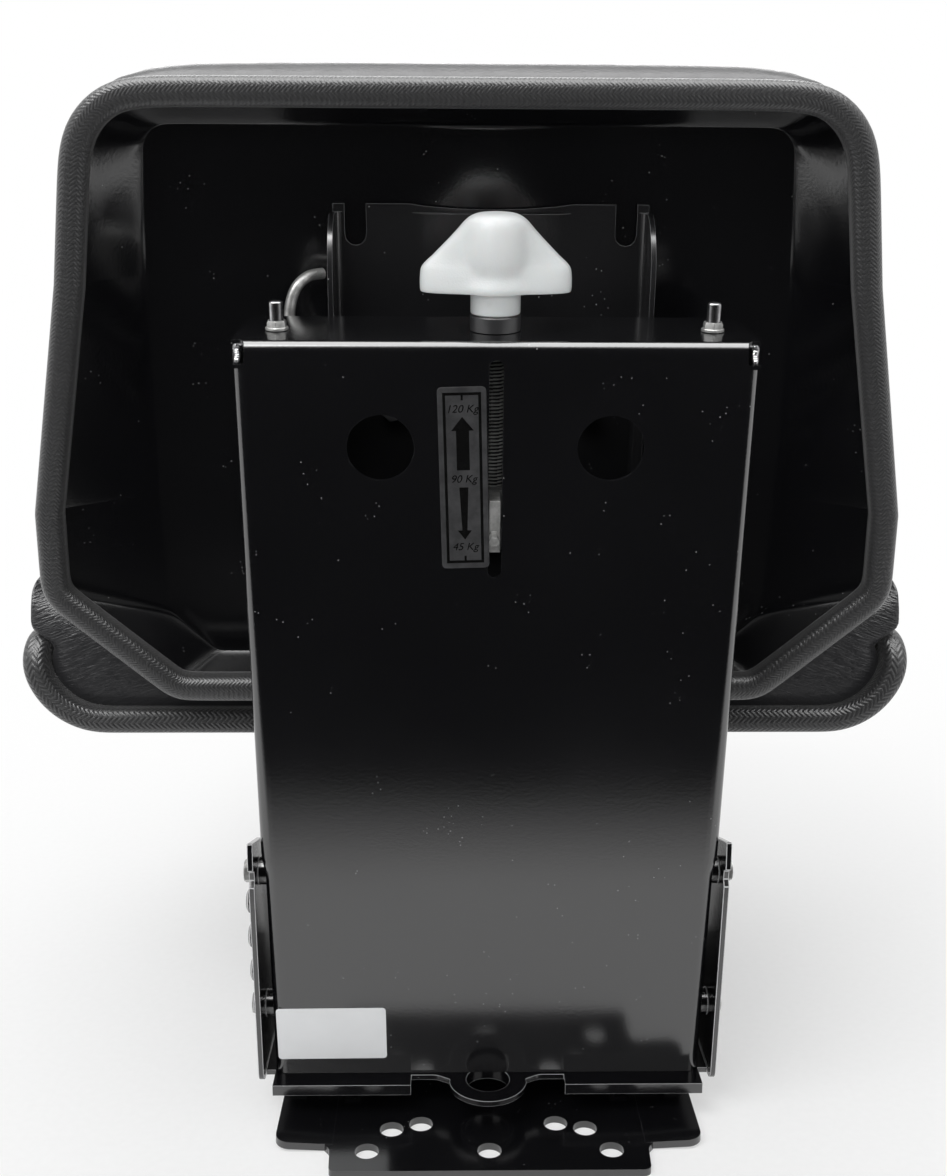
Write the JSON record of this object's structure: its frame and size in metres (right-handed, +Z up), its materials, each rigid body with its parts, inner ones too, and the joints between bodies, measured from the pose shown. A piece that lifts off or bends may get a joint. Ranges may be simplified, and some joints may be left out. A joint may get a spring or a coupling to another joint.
{
  "type": "tractor suspension seat",
  "caption": "Black mechanical suspension tractor seat with a folded box, weight adjuster knob, slide rails, pressed pans and vinyl cushions",
  "frame": {"origin": "middle of the base plate's flat underside, on its centre line", "axes": "+Z up, the sitter faces -Y, +X to the sitter's left (image left in the picture)"},
  "size_m": [0.5138, 0.5751, 0.5599],
  "materials": {
    "gloss_black_paint": "gloss",
    "black_frame_paint": "satin",
    "plain_steel": "satin",
    "ground_steel": "polished",
    "zinc_plate": "satin",
    "rubber": "matte",
    "black_vinyl": "grained",
    "white_plastic": "matte",
    "knob_plastic": "satin"
  },
  "bodies": {
    "base": {"base_plate": "gloss_black_paint", "lower_rail_left": "plain_steel", "lower_rail_right": "plain_steel", "latch_rack": "plain_steel"},
    "slide_frame": {"damper_bracket": "gloss_black_paint", "damper_tube": "gloss_black_paint", "foot_plate": "gloss_black_paint", "glide_left": "white_plastic", "glide_right": "white_plastic", "guide_rod_left": "ground_steel", "guide_rod_right": "ground_steel", "lever_bracket": "gloss_black_paint", "lower_buffer_left": "rubber", "lower_buffer_right": "rubber", "plate_bolt_lower_left": "zinc_plate", "plate_bolt_lower_right": "zinc_plate", "plate_bolt_upper_left": "zinc_plate", "plate_bolt_upper_right": "zinc_plate", "rod_nut_left": "zinc_plate", "rod_nut_right": "zinc_plate", "rod_socket_left": "gloss_black_paint", "rod_socket_right": "gloss_black_paint", "side_plate_left": "gloss_black_paint", "side_plate_right": "gloss_black_paint", "spindle_washer": "gloss_black_paint", "stop_ring_left": "rubber", "stop_ring_right": "rubber", "suspension_box": "gloss_black_paint", "upper_rail_left": "plain_steel", "upper_rail_right": "plain_steel"},
    "latch": {"latch_lever": "gloss_black_paint", "lever_grip": "rubber"},
    "spindle": {"spindle": "zinc_plate", "knob": "knob_plastic"},
    "nut": {"indicator_nut": "zinc_plate", "cross_bar": "zinc_plate"},
    "carriage": {"carriage": "black_frame_paint", "guide_bush_left": "white_plastic", "guide_bush_right": "white_plastic", "damper_rod": "ground_steel", "weight_spring_left": "gloss_black_paint", "weight_spring_right": "gloss_black_paint", "carrier_bracket": "gloss_black_paint", "bent_rod": "zinc_plate", "backrest_pan": "gloss_black_paint", "backrest_trim": "black_vinyl", "backrest_cushion": "black_vinyl", "backrest_bolt_lower_left": "zinc_plate", "backrest_bolt_lower_right": "zinc_plate", "backrest_bolt_upper_left": "zinc_plate", "backrest_bolt_upper_right": "zinc_plate", "seat_arm_left": "gloss_black_paint", "seat_arm_right": "gloss_black_paint", "seat_pan": "gloss_black_paint", "seat_trim": "black_vinyl", "seat_cushion": "black_vinyl", "seat_bolt_front_left": "zinc_plate", "seat_bolt_front_right": "zinc_plate", "seat_bolt_rear_left": "zinc_plate", "seat_bolt_rear_right": "zinc_plate"}
  },
  "joints": [
    {"name": "fore_aft", "type": "slide", "parent": "base", "child": "slide_frame", "axis": [0, 1, 0], "range_m": [-0.06, 0.06]},
    {"name": "latch_release", "type": "hinge", "parent": "slide_frame", "child": "latch", "pos_m": [0, -0.115, 0.0335], "axis": [-1, 0, 0], "range_deg": [0, 12], "stiffness_Nm_per_rad": 0.5, "springref_deg": -17.19},
    {"name": "suspension", "type": "slide", "parent": "slide_frame", "child": "carriage", "axis": [0, 0.1616, 0.9869], "range_m": [-0.08, 0], "stiffness_N_per_m": 6000, "springref_m": 0.066, "deforming": ["weight_spring_left", "weight_spring_right"]},
    {"name": "weight_knob", "type": "hinge", "parent": "slide_frame", "child": "spindle", "pos_m": [0, 0.07039, 0.02775], "axis": [0, -0.1616, -0.9869], "range_deg": [-1800, 13320]},
    {"name": "weight_nut", "type": "slide", "parent": "slide_frame", "child": "nut", "axis": [0, 0.1616, 0.9869], "range_m": [-0.009, 0.065], "deforming": ["weight_spring_left", "weight_spring_right"]}
  ],
  "couplings": [
    {"joint": "weight_nut", "follows": "weight_knob", "m_per_rad": 0.00027852}
  ]
}
